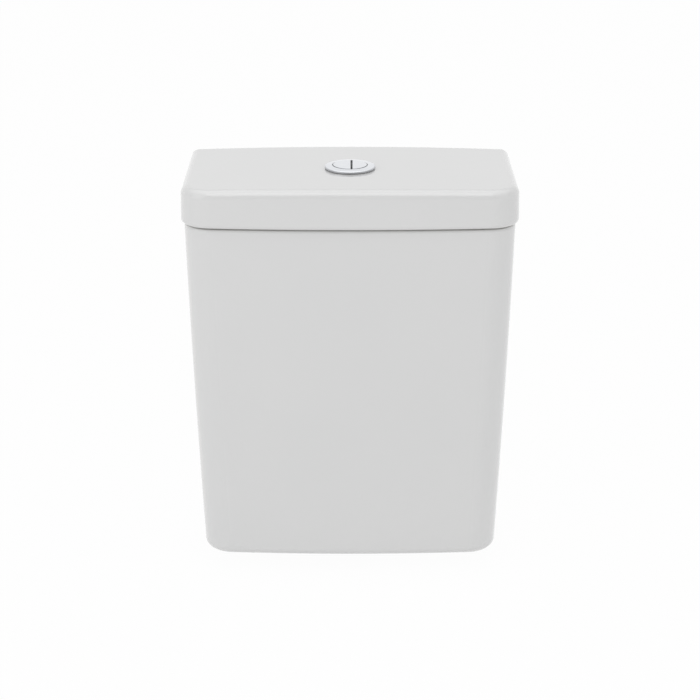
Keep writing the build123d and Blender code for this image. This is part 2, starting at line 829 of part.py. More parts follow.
def lifting_arm(side, ring, height, tip_height, output_arm, swing):
    """An arm from a collar to a strap whose hook lies over a rocker's tip."""
    pivot = rocker_pivot(swing)
    near = pivot + output_arm + rocker_tip + strap_tip_gap
    far = near + strap_thickness
    half = arm_width / 2
    hook = tip_height + seat_gap
    hook_end = pivot + output_arm * cos(radians(swing)) - hook_margin
    pieces = [
        (tube_radius + collar_width / 2, far, height, height + arm_thickness),
        (near, far, height, hook + arm_thickness),
        (hook_end, far, hook, hook + arm_thickness),
    ]
    for inner, outer, low, high in pieces:
        x_low, x_high = sorted((side * inner, side * outer))
        ring = ring + block(x_low, x_high, -half, half, low, high)
    rib_low = height + arm_thickness
    rib_inner = side * (tube_radius + collar_width / 2)
    rib_outer = side * (tube_radius + 2 * collar_width)
    web = make_face(Polyline([
        (rib_inner, 0, rib_low), (rib_outer, 0, rib_low), (rib_inner, 0, rib_low + arm_thickness),
    ], close=True))
    return ring + extrude(web, retainer_rib / 2, both=True)


def tube_crosshead():
    """Collar fixed on the tube; its strap is lifted by the full-flush rocker."""
    bore = tube_radius
    ring = tube(tube_radius + collar_width, bore, crosshead_bottom, crosshead_bottom + crosshead_height)
    tip = rocker_height - full_output_arm * sin(radians(full_swing)) + rocker_tip
    height = crosshead_bottom + arm_thickness / 2
    return lifting_arm(-1, ring, height, tip, full_output_arm, full_swing)


def half_flush_lifter():
    """Loose collar under the crosshead; its strap is lifted by the half-flush rocker."""
    top = crosshead_bottom - seat_gap
    bore = tube_radius + slide_gap
    ring = tube(tube_radius + collar_width, bore, top - lifter_height, top)
    tip = rocker_height - half_output_arm * sin(radians(half_swing)) + rocker_tip
    height = top - lifter_height + arm_thickness / 2
    return lifting_arm(1, ring, height, tip, half_output_arm, half_swing)


def half_flush_float():
    """Float with a channel that clips round the tower's rail."""
    front = tower_radius + rail_stem_depth + rail_head_depth
    high = half_float_bottom + half_float_height
    half = half_float_width / 2
    near = front + slide_gap
    body = block(-half, half, -near - half_float_depth, -near, half_float_bottom, high)
    body = fillet(body.edges().filter_by(Axis.Z), half_float_edge)
    head = rail_head_width / 2 + slide_gap
    stem = rail_stem_width / 2 + slide_gap
    neck = tower_radius + rail_stem_depth - slide_gap
    back = neck - half_float_arm
    for side in (-1, 1):
        x_low, x_high = sorted((side * head, side * (head + half_float_arm)))
        body = body + block(x_low, x_high, -near - half_float_edge, -back, half_float_bottom, high)
        x_low, x_high = sorted((side * stem, side * (head + half_float_arm)))
        body = body + block(x_low, x_high, -neck, -back, half_float_bottom, high)
    return body


def fill_shank():
    """Threaded inlet tail with a flange and the riser above it, in one piece."""
    x = -fill_offset
    flange_bottom = floor_top + fill_washer_thickness
    flange_top = flange_bottom + fill_flange_thickness
    return turned([
        (filter_radius + thread_gap, -inlet_drop),
        (inlet_thread_radius, -inlet_drop),
        (inlet_thread_radius, floor_recess - fill_nut_height),
        (inlet_thread_radius - thread_relief, floor_recess - fill_nut_height),
        (inlet_thread_radius - thread_relief, flange_bottom),
        (fill_flange_radius, flange_bottom),
        (fill_flange_radius, flange_top - fill_flange_thickness / 2),
        (riser_radius, flange_top),
        (riser_radius, cap_base - head_bowl_depth),
        (fill_bore, cap_base - head_bowl_depth),
        (fill_bore, filter_height - inlet_drop),
        (filter_radius + thread_gap, filter_height - inlet_drop),
    ], x)


def inlet_filter():
    """Slotted strainer inside the inlet tail."""
    low = -inlet_drop
    high = low + filter_height - thread_gap
    cup = tube(filter_radius, filter_radius - filter_wall, low, high)
    cup = cup + rod(filter_radius - filter_wall / 2, high - filter_wall, high)
    middle = low + filter_height / 2
    half = filter_slot_height / 2
    for angle in around(filter_slots):
        slot_half = filter_slot_width / 2
        slot = block(0, filter_radius + overrun, -slot_half, slot_half, middle - half, middle + half)
        cup = cup - Rot(0, 0, angle) * slot
    return Pos(-fill_offset, 0, 0) * cup


def floor_washer(x):
    """Soft washer between the tank's floor and an inlet fitting's flange."""
    top = floor_top + fill_washer_thickness
    return tube(fill_flange_radius, inlet_thread_radius + thread_gap, floor_top, top, x)


def floor_nut(x):
    """Hexagonal nut under the tank's floor, on an inlet fitting's thread."""
    bottom = floor_recess - fill_nut_height
    nut = hexagon(fill_nut_across_flats, bottom, floor_recess, x)
    return nut - rod(inlet_thread_radius + thread_gap, bottom - overrun, floor_recess + overrun, x)


def inlet_plug():
    """Blanking plug in the spare inlet hole, with a cross of ribs on its head."""
    flange_bottom = floor_top + fill_washer_thickness
    flange_top = flange_bottom + plug_flange_thickness
    plug = rod(inlet_thread_radius, plug_shank_drop, flange_bottom, fill_offset)
    plug = plug + rod(fill_flange_radius, flange_bottom, flange_top, fill_offset)
    reach = fill_flange_radius - plug_rib
    for angle in (0, 90):
        rib = block(-reach, reach, -plug_rib / 2, plug_rib / 2, flange_top, flange_top + plug_rib)
        plug = plug + Pos(fill_offset, 0, 0) * Rot(0, 0, angle) * rib
    return plug


def fill_sleeve():
    """Outer tube round the riser: water runs down between the two and leaves near the floor."""
    inner = sleeve_radius - sleeve_wall
    sleeve = tube(sleeve_radius, inner, sleeve_bottom, head_bottom + head_height / 2, -fill_offset)
    return sleeve


def fill_head():
    """Fill valve head: a socket over the sleeve and a bowl with ports for the diaphragm."""
    x = -fill_offset
    bowl = cap_base - head_bowl_depth
    head = turned([
        (sleeve_radius + thread_gap, head_bottom),
        (sleeve_radius + head_socket_wall, head_bottom),
        (sleeve_radius + head_socket_wall, bowl - head_socket_wall),
        (head_radius, bowl),
        (head_radius, cap_base),
        (head_radius - head_socket_wall, cap_base),
        (head_radius - head_socket_wall, bowl + head_socket_wall),
        (riser_radius + thread_gap, bowl + head_socket_wall),
        (riser_radius + thread_gap, bowl),
        (sleeve_radius + thread_gap, bowl),
    ], x)
    spread = (riser_radius + head_radius - head_socket_wall) / 2
    for angle in around(head_ports):
        port = rod(head_port_radius, bowl - overrun, bowl + head_socket_wall + overrun, spread)
        head = head - Pos(x, 0, 0) * Rot(0, 0, angle) * port
    return head


def diaphragm():
    """Soft disc between head and cap; its middle closes the riser."""
    low = cap_base
    disc = rod(diaphragm_radius, low, low + diaphragm_thickness, -fill_offset)
    bead_low = cap_base - head_bowl_depth + head_socket_wall
    return disc + rod(riser_radius - fill_bore / 2, bead_low, low, -fill_offset)


def fill_cap():
    """Ribbed screw cap that holds the diaphragm and carries the lever's two ears."""
    x = -fill_offset
    outer = head_radius + thread_gap + fill_cap_wall
    roof = cap_base + diaphragm_thickness
    top = cap_base + fill_cap_top
    cap = turned([
        (head_radius + thread_gap, cap_base - fill_cap_overlap),
        (outer, cap_base - fill_cap_overlap),
        (outer, top - cap_grip),
        (outer - cap_grip, top),
        (0, top),
        (0, roof),
        (head_radius + thread_gap, roof),
    ], x)
    half = cap_grip / 2
    for angle in around(cap_grips):
        low = cap_base - fill_cap_overlap
        grip = block(outer - half, outer + half, -half, half, low, top - 2 * cap_grip)
        cap = cap + Pos(x, 0, 0) * Rot(0, 0, angle) * grip
    pin_x = x - ear_offset
    near = lever_width / 2 + slide_gap
    for end in (-1, 1):
        y_low, y_high = sorted((end * near, end * (near + ear_thickness)))
        middle = (y_low + y_high) / 2
        ear = block(pin_x - ear_reach, pin_x + ear_reach, y_low, y_high, top - cap_grip, lever_pin_height)
        ear = ear + cross_rod(ear_reach, ear_thickness / 2, pin_x, lever_pin_height, middle)
        cap = cap + ear - cross_rod(lever_pin_radius, ear_thickness, pin_x, lever_pin_height, middle)
    return cap


def lever_pin():
    """Pin that the fill valve's lever turns on."""
    half = lever_width / 2 + slide_gap + ear_thickness
    x = -fill_offset - ear_offset
    pin = cross_rod(lever_pin_radius, half + pin_head_height, x, lever_pin_height)
    for end in (-1, 1):
        y = end * (half + pin_head_height / 2)
        pin = pin + cross_rod(pin_head_radius, pin_head_height / 2, x, lever_pin_height, y)
    return pin


def fill_lever():
    """Lever over the cap: a hub on its pin and a slotted fork on the float's rod."""
    half = lever_width / 2
    web = lever_thickness / 2
    lever = cross_rod(lever_hub, half, 0, 0) + block(0, lever_arm, -half, half, -web, web)
    lever = lever + cross_rod(lever_end, half, lever_arm, 0)
    ridge = make_face(Polyline([
        (0, 0, lever_hub), (lever_arm - link_offset / 2, 0, web), (0, 0, web),
    ], close=True))
    lever = lever + extrude(ridge, web / 2, both=True)
    lever = lever - cross_rod(lever_pin_radius + pin_gap, half + overrun, 0, 0)
    tab_room = link_tab_width / 2 + seat_gap
    mouth = lever_arm - lever_end - 2 * lever_slot_margin
    reach = lever_end + overrun
    lever = lever - block(mouth, lever_arm + reach, -tab_room, tab_room, -reach, reach)
    pin_room = lever_pin_radius + seat_gap
    slot_half = lever_slot_margin
    wide = half + overrun
    slot = block(lever_arm - slot_half, lever_arm + slot_half, -wide, wide, -pin_room, pin_room)
    for end in (-1, 1):
        slot = slot + cross_rod(pin_room, wide, lever_arm + end * slot_half, 0)
    lever = lever - slot
    return Pos(-fill_offset - ear_offset, 0, lever_pin_height) * Rot(0, lever_swing, 0) * lever


def fill_float():
    """Ring-shaped float that rides on the sleeve, with a socket for its rod."""
    x = -fill_offset
    high = fill_float_bottom + fill_float_height
    body = tube(fill_float_radius, sleeve_radius + slide_gap, fill_float_bottom, high)
    rims = body.edges().filter_by(GeomType.CIRCLE).sort_by(SortBy.RADIUS)[-2:]
    body = fillet(rims, fill_float_edge)
    middle = fill_float_bottom + fill_float_height / 2
    groove = tube(
        fill_float_radius + overrun, fill_float_radius - fill_float_groove,
        middle - fill_float_groove_height / 2, middle + fill_float_groove_height / 2,
    )
    socket = rod(link_socket_radius, high - fill_float_edge, high + link_socket_height, link_offset)
    socket_bore = rod(link_radius, high - fill_float_edge, high + link_socket_height + overrun, link_offset)
    return Pos(x, 0, 0) * (body - groove + socket - socket_bore)


def float_link():
    """Rod screwed into the float, with a tab and a cross pin in the lever's fork."""
    x = -fill_offset + link_offset
    pin_height = lever_pin_height - lever_arm * sin(radians(lever_swing))
    low = fill_float_bottom + fill_float_height - fill_float_edge
    shaft = rod(link_radius, low, pin_height - link_tab_radius / 2, x)
    tab = cross_rod(link_tab_radius, link_tab_width / 2, x, pin_height)
    pin = cross_rod(lever_pin_radius, lever_width / 2, x, pin_height)
    return shaft + tab + pin


def bolt_places():
    """The two bolts' distances from the middle."""
    return (-bolt_spacing / 2, bolt_spacing / 2)


def fixing_bolts():
    """Two slotted bolts through the tank's floor."""
    bolts = []
    head_bottom_height = floor_top + cone_washer_height + steel_washer_thickness
    nut_bottom = floor_recess - steel_washer_thickness - bolt_nut_height
    for x in bolt_places():
        free_end = rod(bolt_radius, -bolt_drop, nut_bottom, x)
        free_end = chamfer(free_end.faces().sort_by(Axis.Z)[0].edges(), bolt_radius / 4)
        bolt = free_end + rod(bolt_radius - thread_relief, nut_bottom, head_bottom_height, x)
        head = rod(bolt_head_radius, head_bottom_height, head_bottom_height + bolt_head_height, x)
        head = fillet(head.faces().sort_by(Axis.Z)[-1].edges(), bolt_slot)
        slot_low = head_bottom_height + bolt_head_height / 2
        slot = block(
            x - bolt_head_radius - overrun, x + bolt_head_radius + overrun,
            -bolt_slot / 2, bolt_slot / 2, slot_low, slot_low + bolt_head_height,
        )
        bolts.append(bolt + (head - slot))
    return Compound(children=bolts)


def bolt_rubber_washers():
    """Two tapered soft washers under the bolts' heads."""
    washers = []
    for x in bolt_places():
        washers.append(turned([
            (bolt_radius, floor_top),
            (cone_washer_radius, floor_top),
            (cone_washer_radius - cone_washer_taper / 2, floor_top + cone_washer_height),
            (bolt_radius, floor_top + cone_washer_height),
        ], x))
    return Compound(children=washers)


def bolt_steel_washers():
    """Four flat washers: one under each bolt's head and one above each nut."""
    washers = []
    upper = floor_top + cone_washer_height
    lower = floor_recess - steel_washer_thickness
    for x in bolt_places():
        for bottom in (upper, lower):
            top = bottom + steel_washer_thickness
            washers.append(tube(steel_washer_radius, bolt_radius + thread_gap, bottom, top, x))
    return Compound(children=washers)


def bolt_nuts():
    """Two hexagonal nuts that clamp the bolts to the tank's floor."""
    nuts = []
    top = floor_recess - steel_washer_thickness
    bottom = top - bolt_nut_height
    for x in bolt_places():
        nut = hexagon(bolt_nut_across_flats, bottom, top, x)
        nuts.append(nut - rod(bolt_radius + thread_gap, bottom - overrun, top + overrun, x))
    return Compound(children=nuts)


def spring_clearance(radius, pitch, wire):
    """Least gap between two turns of a spring, measured on points along its helix."""
    steps = 180
    rise = pitch / steps
    step = 2 * pi / steps
    turn = [(radius * cos(step * n), radius * sin(step * n), rise * n) for n in range(2 * steps)]
    nearest = min(
        hypot(turn[0][0] - x, turn[0][1] - y, turn[0][2] - z) for x, y, z in turn[steps // 2:]
    )
    return nearest - 2 * wire


parts = {
    "cistern_body": cistern_body(),
    "lid": lid(),
    "button_housing": button_housing(),
    "button_bezel": button_bezel(),
    "button_gasket": tube(lid_hole + gasket_width, housing_radius + thread_gap, lid_top, housing_base),
    "button_locknut": button_locknut(),
    "full_flush_button": button_cap(-1),
    "half_flush_button": button_cap(1),
    "full_push_rod": push_rod(-1, full_swing),
    "half_push_rod": push_rod(1, half_swing),
    "full_button_spring": button_spring(-1),
    "half_button_spring": button_spring(1),
    "full_flush_rocker": rocker(-1, full_output_arm, full_swing),
    "half_flush_rocker": rocker(1, half_output_arm, half_swing),
    "rocker_pins": rocker_pins(),
    "valve_base": valve_base(),
    "valve_seating_washer": valve_seating_washer(),
    "valve_backnut": valve_backnut(),
    "close_coupling_gasket": close_coupling_gasket(),
    "valve_tower": valve_tower(),
    "overflow_tube": overflow_tube(),
    "main_seal": main_seal(),
    "seal_clamp_ring": seal_clamp_ring(),
    "seal_retainer": seal_retainer(),
    "valve_float": valve_float(),
    "tube_crosshead": tube_crosshead(),
    "half_flush_lifter": half_flush_lifter(),
    "half_flush_float": half_flush_float(),
    "fill_shank": fill_shank(),
    "inlet_filter": inlet_filter(),
    "fill_shank_washer": floor_washer(-fill_offset),
    "fill_backnut": floor_nut(-fill_offset),
    "fill_sleeve": fill_sleeve(),
    "fill_head": fill_head(),
    "diaphragm": diaphragm(),
    "fill_cap": fill_cap(),
    "lever_pin": lever_pin(),
    "fill_lever": fill_lever(),
    "fill_float": fill_float(),
    "float_link": float_link(),
    "inlet_plug": inlet_plug(),
    "plug_washer": floor_washer(fill_offset),
    "plug_nut": floor_nut(fill_offset),
    "fixing_bolts": fixing_bolts(),
    "bolt_rubber_washers": bolt_rubber_washers(),
    "bolt_steel_washers": bolt_steel_washers(),
    "bolt_nuts": bolt_nuts(),
}

os.makedirs("parts", exist_ok=True)
for name, solid in parts.items():
    export_step(solid, os.path.join("parts", name + ".step"))

spring_pitch = (button_underside - housing_floor_top - 2 * spring_wire) / spring_turns
spring_gap = spring_clearance(spring_radius, spring_pitch, spring_wire)
print("least gap between a spring's turns:", spring_gap)
print("rocker swings:", full_swing, half_swing)
print("rocker pins' distances from the middle:", rocker_pivot(full_swing), rocker_pivot(half_swing))
print("full lift:", full_lift, "half lift:", half_lift, "lever swing:", lever_swing)
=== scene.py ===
import math

import bmesh
import bpy
import numpy as np
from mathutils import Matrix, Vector


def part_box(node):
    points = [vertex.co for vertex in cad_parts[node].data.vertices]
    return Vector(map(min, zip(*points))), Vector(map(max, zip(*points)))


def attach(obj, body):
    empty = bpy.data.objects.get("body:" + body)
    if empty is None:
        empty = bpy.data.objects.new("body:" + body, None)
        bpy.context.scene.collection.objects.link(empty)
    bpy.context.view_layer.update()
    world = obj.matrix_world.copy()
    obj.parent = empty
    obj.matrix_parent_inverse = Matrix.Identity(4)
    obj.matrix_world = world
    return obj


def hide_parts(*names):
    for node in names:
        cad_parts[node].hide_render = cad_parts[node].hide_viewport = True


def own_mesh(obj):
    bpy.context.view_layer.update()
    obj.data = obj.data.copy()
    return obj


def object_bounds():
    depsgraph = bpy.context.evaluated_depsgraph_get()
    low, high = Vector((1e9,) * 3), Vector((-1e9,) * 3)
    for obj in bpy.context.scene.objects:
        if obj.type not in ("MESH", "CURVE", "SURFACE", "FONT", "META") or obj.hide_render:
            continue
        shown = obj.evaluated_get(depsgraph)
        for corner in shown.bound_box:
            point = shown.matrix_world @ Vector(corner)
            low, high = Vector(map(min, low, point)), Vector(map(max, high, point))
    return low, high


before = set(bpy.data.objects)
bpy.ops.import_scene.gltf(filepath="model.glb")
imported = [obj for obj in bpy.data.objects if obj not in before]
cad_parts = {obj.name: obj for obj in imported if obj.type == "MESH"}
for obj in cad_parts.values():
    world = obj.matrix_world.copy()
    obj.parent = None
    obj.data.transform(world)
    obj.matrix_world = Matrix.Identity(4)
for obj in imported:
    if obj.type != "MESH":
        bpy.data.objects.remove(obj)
cad_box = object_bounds()


# Tank. One slip-cast piece of vitreous china: it leans in towards the base, its front is gently
# bowed, and a glossy white glaze covers all but the foot it stood on in the kiln and its rim.
# Only slow waves of the glaze and the bare places are added here, as a material; the bare
# roundings are darkened as painted shade, meant for the seam under the lid.
def blank_material(name, colour, roughness, metallic=0.0):
    """A node material with one shader whose plain values sit on its own sockets."""
    material = bpy.data.materials.new(name)
    material.use_nodes = True
    shader = material.node_tree.nodes["Principled BSDF"]
    shader.inputs["Base Color"].default_value = (*colour, 1.0)
    shader.inputs["Roughness"].default_value = roughness
    shader.inputs["Metallic"].default_value = metallic
    return material, material.node_tree, shader


def add_node(tree, kind, values=None, **settings):
    """One node of that kind, with its settings. Its inputs get plain values or other nodes' outputs."""
    node = tree.nodes.new(kind)
    for key, value in settings.items():
        setattr(node, key, value)
    for key, value in (values or {}).items():
        if isinstance(value, bpy.types.NodeSocket):
            tree.links.new(value, node.inputs[key])
        else:
            node.inputs[key].default_value = value
    return node


def object_place(tree, stretch=(1.0, 1.0, 1.0)):
    """Object coordinates, stretched along the axes."""
    place = add_node(tree, "ShaderNodeTexCoord").outputs["Object"]
    return add_node(tree, "ShaderNodeMapping", {"Vector": place, "Scale": stretch}).outputs["Vector"]


def axis_value(tree, coordinates, axis):
    """One axis of the object's place, of its own normal, or of a direction in the room."""
    source = add_node(tree, "ShaderNodeTexCoord").outputs[coordinates]
    return add_node(tree, "ShaderNodeSeparateXYZ", {"Vector": source}).outputs[axis]


def noise(tree, place, scale, detail=2.0):
    """Cloudy noise at that many features to the metre."""
    inputs = {"Vector": place, "Scale": scale, "Detail": detail}
    return add_node(tree, "ShaderNodeTexNoise", inputs).outputs["Fac"]


def spread(tree, factor, low, high, start=0.3, end=0.7):
    """A factor from start to end turned into a value from low to high."""
    inputs = {"Value": factor, "From Min": start, "From Max": end, "To Min": low, "To Max": high}
    return add_node(tree, "ShaderNodeMapRange", inputs).outputs["Result"]


def worked_out(tree, operation, *values):
    """The result of an arithmetic operation on plain values or other nodes' outputs."""
    return add_node(tree, "ShaderNodeMath", dict(enumerate(values)), operation=operation).outputs[0]


def between(tree, factor, first, second):
    """A value between two, by a factor."""
    inputs = {"Factor": factor, "A": first, "B": second}
    return add_node(tree, "ShaderNodeMix", inputs, data_type="FLOAT").outputs["Result"]


def two_tone(tree, factor, first, second):
    """A colour between two, by a factor. Each is three values or another node's output."""
    ends = [tone if isinstance(tone, bpy.types.NodeSocket) else (*tone, 1.0) for tone in (first, second)]
    inputs = {"Factor": factor, "A": ends[0], "B": ends[1]}
    return add_node(tree, "ShaderNodeMix", inputs, data_type="RGBA").outputs["Result"]


def relief(tree, shader, height, depth, strength=1.0, below=None):
    """Bumps of that depth in metres on the surface, over those that another relief gave."""
    inputs = {"Height": height, "Distance": depth, "Strength": strength}
    if below:
        inputs["Normal"] = below
    normal = add_node(tree, "ShaderNodeBump", inputs).outputs["Normal"]
    tree.links.new(normal, shader.inputs["Normal"])
    return normal


def height_band(tree, bare, whole):
    """0 at the first height and past it, 1 at the second and past it, from the object's own Z."""
    return spread(tree, axis_value(tree, "Object", "Z"), 0.0, 1.0, bare, whole)


def glaze(name, *bare_bands):
    """White glaze, bare and matte past each band's first height, all glazed past its second.
    Bare china is pale where it is level and darker on the roundings beside it: painted shade, meant
    for the seam where the lid sits on the tank."""
    material, tree, shader = blank_material(name, (0.80, 0.80, 0.79), 0.09)
    shader.inputs["Coat Weight"].default_value = 0.5
    shader.inputs["Coat Roughness"].default_value = 0.04
    shader.inputs["IOR"].default_value = 1.5
    place = object_place(tree)
    slow = noise(tree, place, 9.0, 1.0)
    glazed = height_band(tree, *bare_bands[0])
    for band in bare_bands[1:]:
        glazed = worked_out(tree, "MULTIPLY", glazed, height_band(tree, *band))
    # Painted shade: bare china turns darker where its normal leaves the level, on the roundings in the
    # seam.
    level = worked_out(tree, "ABSOLUTE", axis_value(tree, "Normal", "Z"))
    level_unshaded = spread(tree, level, 0.0, 1.0, 0.955, 0.995)
    bare_and_shade_tone = two_tone(tree, level_unshaded, (0.42, 0.415, 0.405), (0.70, 0.69, 0.66))
    glaze_tone = two_tone(tree, slow, (0.785, 0.788, 0.788), (0.812, 0.812, 0.810))
    tree.links.new(two_tone(tree, glazed, bare_and_shade_tone, glaze_tone), shader.inputs["Base Color"])
    bare_roughness = 0.85
    gloss = spread(tree, slow, 0.07, 0.12)
    tree.links.new(between(tree, glazed, bare_roughness, gloss), shader.inputs["Roughness"])
    waves = relief(tree, shader, noise(tree, place, 22.0, 1.0), 0.0006, 0.35)
    relief(tree, shader, noise(tree, place, 420.0), 0.00004, 0.2, waves)
    return material


def dress(material, *names):
    """Gives CAD nodes their material."""
    for name in names:
        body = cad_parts[name].data
        body.materials.clear()
        body.materials.append(material)


bare_foot = (0.0002, 0.0012)
# Painted shade: the bare rim band darkens the tank's rim rounding under the lid's overhang.
bare_rim_and_shade = (0.3753, 0.3743)
dress(glaze("tank_glaze", bare_foot, bare_rim_and_shade), "cistern_body")


# Lid. A second china piece that sits loose on the tank's rim: a deep skirt with a soft top edge,
# a slight crown from side to side, lugs below that keep it from sliding, and the button's hole.
# It was fired on the tank, so the rims that meet there are bare; the bare skirt edge is also
# darkened on its rounding as painted shade for the seam under the lid.
bare_skirt_edge_and_shade = (0.3769, 0.3774)
dress(glaze("lid_glaze", bare_skirt_edge_and_shade), "lid")


# Fixing bolts, washers and nuts. Two slotted brass bolts go through the floor, each with a soft
# tapered washer and a steel one under its head, and a steel washer and a nut below.
# The bolts are turned and their threads rolled, and the nuts have chamfered corners.
def rounded(points, radius, steps=4):
    """A closed outline with softened corners: each is a Bezier (1-s)^2 A + 2s(1-s) P + s^2 B.
    A corner on the axis stays sharp, and none takes more than 45% of a side."""
    corner = np.array(points, float)
    before = np.roll(corner, 1, axis=0) - corner
    after = np.roll(corner, -1, axis=0) - corner
    reach_before = np.linalg.norm(before, axis=1, keepdims=True)
    reach_after = np.linalg.norm(after, axis=1, keepdims=True)
    size = np.where(corner[:, :1] <= 0.0, 0.0, radius)
    start = corner + before / reach_before * np.minimum(size, reach_before * 0.45)
    end = corner + after / reach_after * np.minimum(size, reach_after * 0.45)
    s = np.linspace(0.0, 1.0, steps)[None, :, None]
    path = (1 - s) ** 2 * start[:, None] + 2 * s * (1 - s) * corner[:, None] + s ** 2 * end[:, None]
    return path.reshape(-1, 2)


def dense(path, step, low, high):
    """The closed path with points added between two heights, about one step apart."""
    following = np.roll(path, -1, axis=0)
    length = np.linalg.norm(following - path, axis=1)
    middle = (following[:, 1] + path[:, 1]) / 2
    within = (middle > low) & (middle < high)
    count = np.where(within, np.maximum(1, np.ceil(length / step)), 1).astype(int)
    index = np.repeat(np.arange(len(path)), count)
    share = (np.arange(count.sum()) - np.repeat(np.cumsum(count) - count, count)) / count[index]
    return path[index] + (following - path)[index] * share[:, None]


def turned_piece(name, points, x=0.0, soften=0.0003, around=96, thread=None, hexagon=None, step=None):
    """A closed profile turned round a vertical axis: P(u, v) = (x + r cos v, r sin v, z).
    A thread takes depth times a triangle wave of z / pitch - v / 2 pi off a radius over its wall.
    A hexagon limits the radius to half its width over cos of the angle from the flat's middle."""
    profile = rounded(points, soften) if soften else np.array(points, float)
    low, high = (thread["low"], thread["high"]) if thread else (-np.inf, np.inf)
    if step:
        profile = dense(profile, step, low, high)
    keep = np.linalg.norm(np.roll(profile, -1, axis=0) - profile, axis=1) > 1e-7
    profile = profile[keep]
    turn = np.linspace(0.0, 2 * np.pi, around, endpoint=False)[None, :]
    radius = np.repeat(profile[:, :1], around, axis=1)
    level = np.repeat(profile[:, 1:], around, axis=1)
    if thread:
        pitch = thread["pitch"]
        wave = np.abs(2.0 * ((level / pitch - turn / (2 * np.pi)) % 1.0) - 1.0)
        fade = np.clip((level - low) / pitch, 0, 1) * np.clip((high - level) / pitch, 0, 1)
        radius = radius - np.where(radius > thread["wall"], thread["depth"] * wave * fade, 0.0)
    if hexagon:
        flat = hexagon / 2 / np.cos((turn + np.pi / 6) % (np.pi / 3) - np.pi / 6)
        radius = np.minimum(radius, flat)
    surface = np.stack([x + radius * np.cos(turn), radius * np.sin(turn), level], axis=2)
    return grid_piece(name, surface)


def grid_piece(name, surface, closed=True):
    """A mesh of four-sided faces over a grid of points, P(row, column). Its columns meet their
    first one again, and so do its rows if it is closed."""
    rows, columns = surface.shape[:2]
    row = np.arange(rows if closed else rows - 1)[:, None]
    column = np.arange(columns)[None, :]
    below = (row + 1) % rows
    beside = (column + 1) % columns
    faces = np.stack([
        row * columns + column, row * columns + beside,
        below * columns + beside, below * columns + column,
    ], axis=2)
    return mesh_piece(name, surface.reshape(-1, 3), faces.reshape(-1, 4))


def mesh_piece(name, points, faces):
    """An object at the origin from points and faces, doubles merged and faces turned outwards."""
    mesh = bpy.data.meshes.new(name)
    mesh.from_pydata(points.tolist(), [], faces.tolist())
    work = bmesh.new()
    work.from_mesh(mesh)
    bmesh.ops.remove_doubles(work, verts=work.verts, dist=1e-7)
    bmesh.ops.recalc_face_normals(work, faces=work.faces)
    work.to_mesh(mesh)
    work.free()
    return shown(name, mesh)


def shown(name, mesh):
    """The object that shows a mesh, smooth but for edges that turn by over 38 degrees."""
    mesh.shade_smooth()
    mesh.set_sharp_from_angle(angle=math.radians(38))
    piece = bpy.data.objects.new(name, mesh)
    bpy.context.scene.collection.objects.link(piece)
    return piece


def vertex_places(mesh):
    """The places of a mesh's points, a row for each."""
    place = np.empty(len(mesh.vertices) * 3)
    mesh.vertices.foreach_get("co", place)
    return place.reshape(-1, 3)


def joined(name, pieces):
    """One piece out of several, point lists and faces put one after the other."""
    points, faces, offset = [], [], 0
    for piece in pieces:
        mesh = piece.data
        points.append(vertex_places(mesh))
        faces += [[offset + index for index in face.vertices] for face in mesh.polygons]
        offset += len(mesh.vertices)
        bpy.data.objects.remove(piece)
    mesh = bpy.data.meshes.new(name)
    mesh.from_pydata(np.vstack(points).tolist(), [], faces)
    return shown(name, mesh)


def settle(piece, body, material, slot, *replaced):
    """Gives a new piece its material and its body, and hides the CAD node that it stands for.
    The slot is not used.
    """
    piece.data.materials.append(material)
    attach(piece, body)
    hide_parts(*replaced)


def turned_metal(name, colour, roughness, marks=900.0):
    """Metal off a lathe: fine rings round the axis, from noise squeezed along Z, and soft stains."""
    material, tree, shader = blank_material(name, colour, roughness, 1.0)
    rings = noise(tree, object_place(tree, (0.15, 0.15, 2.5)), marks)
    stains = noise(tree, object_place(tree), 160.0, 3.0)
    dark = tuple(value * 0.72 for value in colour)
    tone = two_tone(tree, spread(tree, stains, 0.0, 1.0), dark, colour)
    tree.links.new(tone, shader.inputs["Base Color"])
    tree.links.new(spread(tree, stains, roughness + 0.12, roughness), shader.inputs["Roughness"])
    relief(tree, shader, rings, 0.00003, 0.4)
    return material


def slotted(piece, x, half_width, depth, top, radius):
    """Sinks a bolt's slot: points of the head's flat nearer the slot's middle than half its width
    drop by a depth that falls off steeply at its edges, smoothstep(half - |y|)."""
    place = vertex_places(piece.data)
    share = np.clip((half_width - np.abs(place[:, 1])) / (half_width * 0.2) + 0.5, 0, 1)
    on_head = (place[:, 2] > top - 0.0012) & (np.hypot(place[:, 0] - x, place[:, 1]) < radius * 1.2)
    place[:, 2] -= np.where(on_head, depth * share * share * (3 - 2 * share), 0.0)
    piece.data.vertices.foreach_set("co", place.ravel())


brass = turned_metal("turned_brass", (0.72, 0.54, 0.25), 0.26)
bolt_places = (-0.080, 0.080)
bolt_crest = 0.0040
bolt_neck = 0.00370
head_radius = 0.0080
head_top = 0.0445
bolts = []
for x in bolt_places:
    bolt = turned_piece("bolt", [
        (0, -0.0210), (0.0031, -0.0210), (bolt_crest, -0.0200), (bolt_crest, 0.0160),
        (bolt_neck, 0.0161), (bolt_neck, 0.0395), (head_radius, 0.0395), (head_radius, 0.0436),
        (0.0068, head_top), (0, head_top),
    ], x, around=64, step=0.0003,
        thread={"pitch": 0.00125, "depth": 0.00062, "low": -0.0205, "high": 0.0160, "wall": 0.0036})
    slotted(bolt, x, half_width=0.0008, depth=0.0022, top=head_top, radius=head_radius)
    bolts.append(bolt)
settle(joined("threaded_bolts", bolts), "cistern", brass, "brass", "fixing_bolts")


